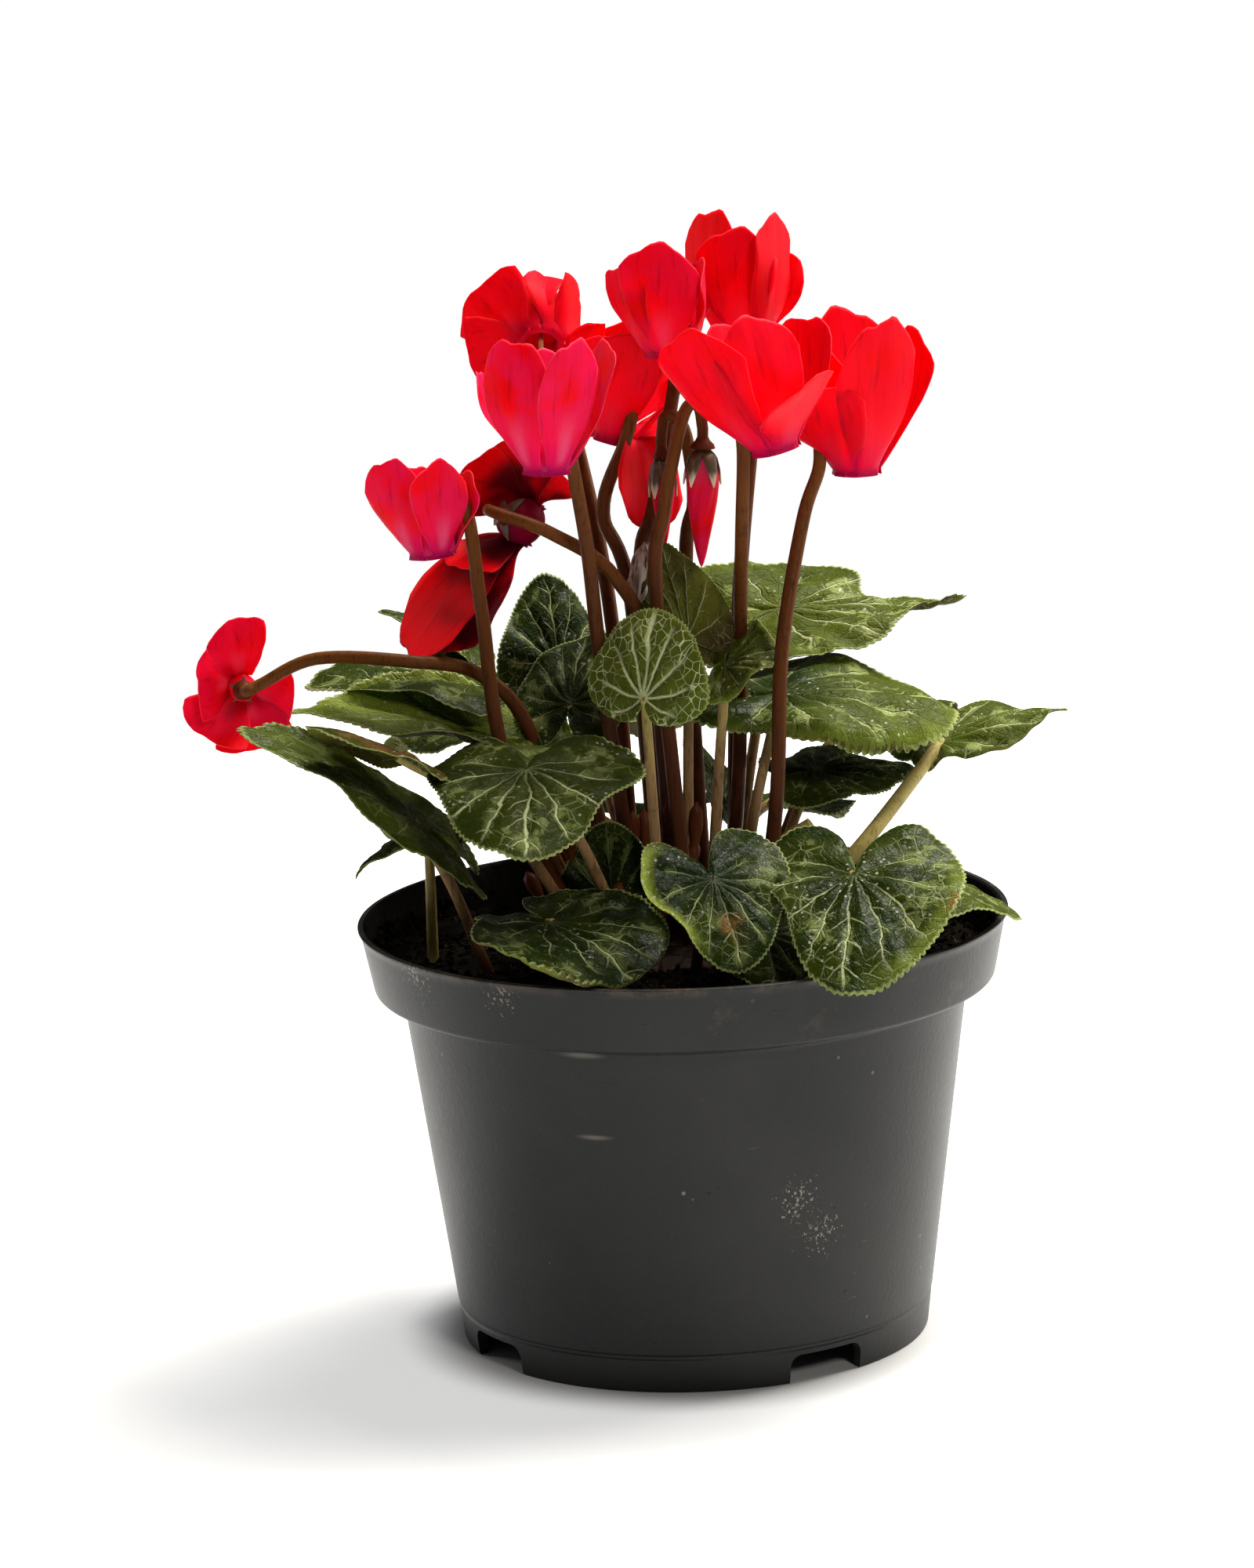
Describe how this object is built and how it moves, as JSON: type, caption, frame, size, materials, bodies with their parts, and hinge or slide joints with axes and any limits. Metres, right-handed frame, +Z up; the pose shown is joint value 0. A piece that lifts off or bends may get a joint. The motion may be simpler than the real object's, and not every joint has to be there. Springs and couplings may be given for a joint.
{
  "type": "potted cyclamen",
  "caption": "Potted cyclamen: heart-shaped marbled leaves on slim stalks, upright swept-back blooms and drooping buds over a tuber in a thin-walled growing pot.",
  "frame": {"origin": "centre of the pot's underside, on the flat centre pad at the plane it stands on", "axes": "+Z up through the pot's axis, -Y towards the viewer of the picture, +X to the viewer's right"},
  "size_m": [0.1772, 0.1445, 0.2241],
  "materials": {
    "pot": "satin dark charcoal injection-moulded plastic",
    "soil": "dark crumbly potting compost",
    "tuber": "dull brown corky skin",
    "leaf": "semi-gloss dark green with silver-green marbling and pale veins, olive stalks",
    "stem": "satin brown-purple",
    "petal": "satin translucent bright red, magenta towards the mouth"
  },
  "bodies": {
    "root": {"leaf_01": "leaf", "leaf_02": "leaf", "leaf_03": "leaf", "leaf_04": "leaf", "leaf_05": "leaf", "leaf_06": "leaf", "leaf_07": "leaf", "leaf_08": "leaf", "leaf_09": "leaf", "leaf_10": "leaf", "leaf_11": "leaf", "leaf_12": "leaf", "leaf_13": "leaf", "leaf_14": "leaf", "leaf_15": "leaf", "leaf_16": "leaf", "leaf_17": "leaf", "leaf_18": "leaf", "leaf_19": "leaf", "leaf_20": "leaf", "leaf_21": "leaf", "leaf_22": "leaf", "leaf_23": "leaf", "leaf_24": "leaf", "leaf_25": "leaf", "leaf_26": "leaf", "leaf_27": "leaf", "leaf_28": "leaf", "bloom_01": "petal", "bloom_stem_01": "stem", "bloom_02": "petal", "bloom_stem_02": "stem", "bloom_03": "petal", "bloom_stem_03": "stem", "bloom_04": "petal", "bloom_stem_04": "stem", "bloom_05": "petal", "bloom_stem_05": "stem", "bloom_06": "petal", "bloom_stem_06": "stem", "bloom_07": "petal", "bloom_stem_07": "stem", "bloom_08": "petal", "bloom_stem_08": "stem", "bloom_09": "petal", "bloom_stem_09": "stem", "bloom_10": "petal", "bloom_stem_10": "stem", "bud_01": "petal", "bud_stem_01": "stem", "bud_02": "petal", "bud_stem_02": "stem", "tuber": "tuber", "soil": "soil", "pot": "pot"}
  },
  "joints": []
}
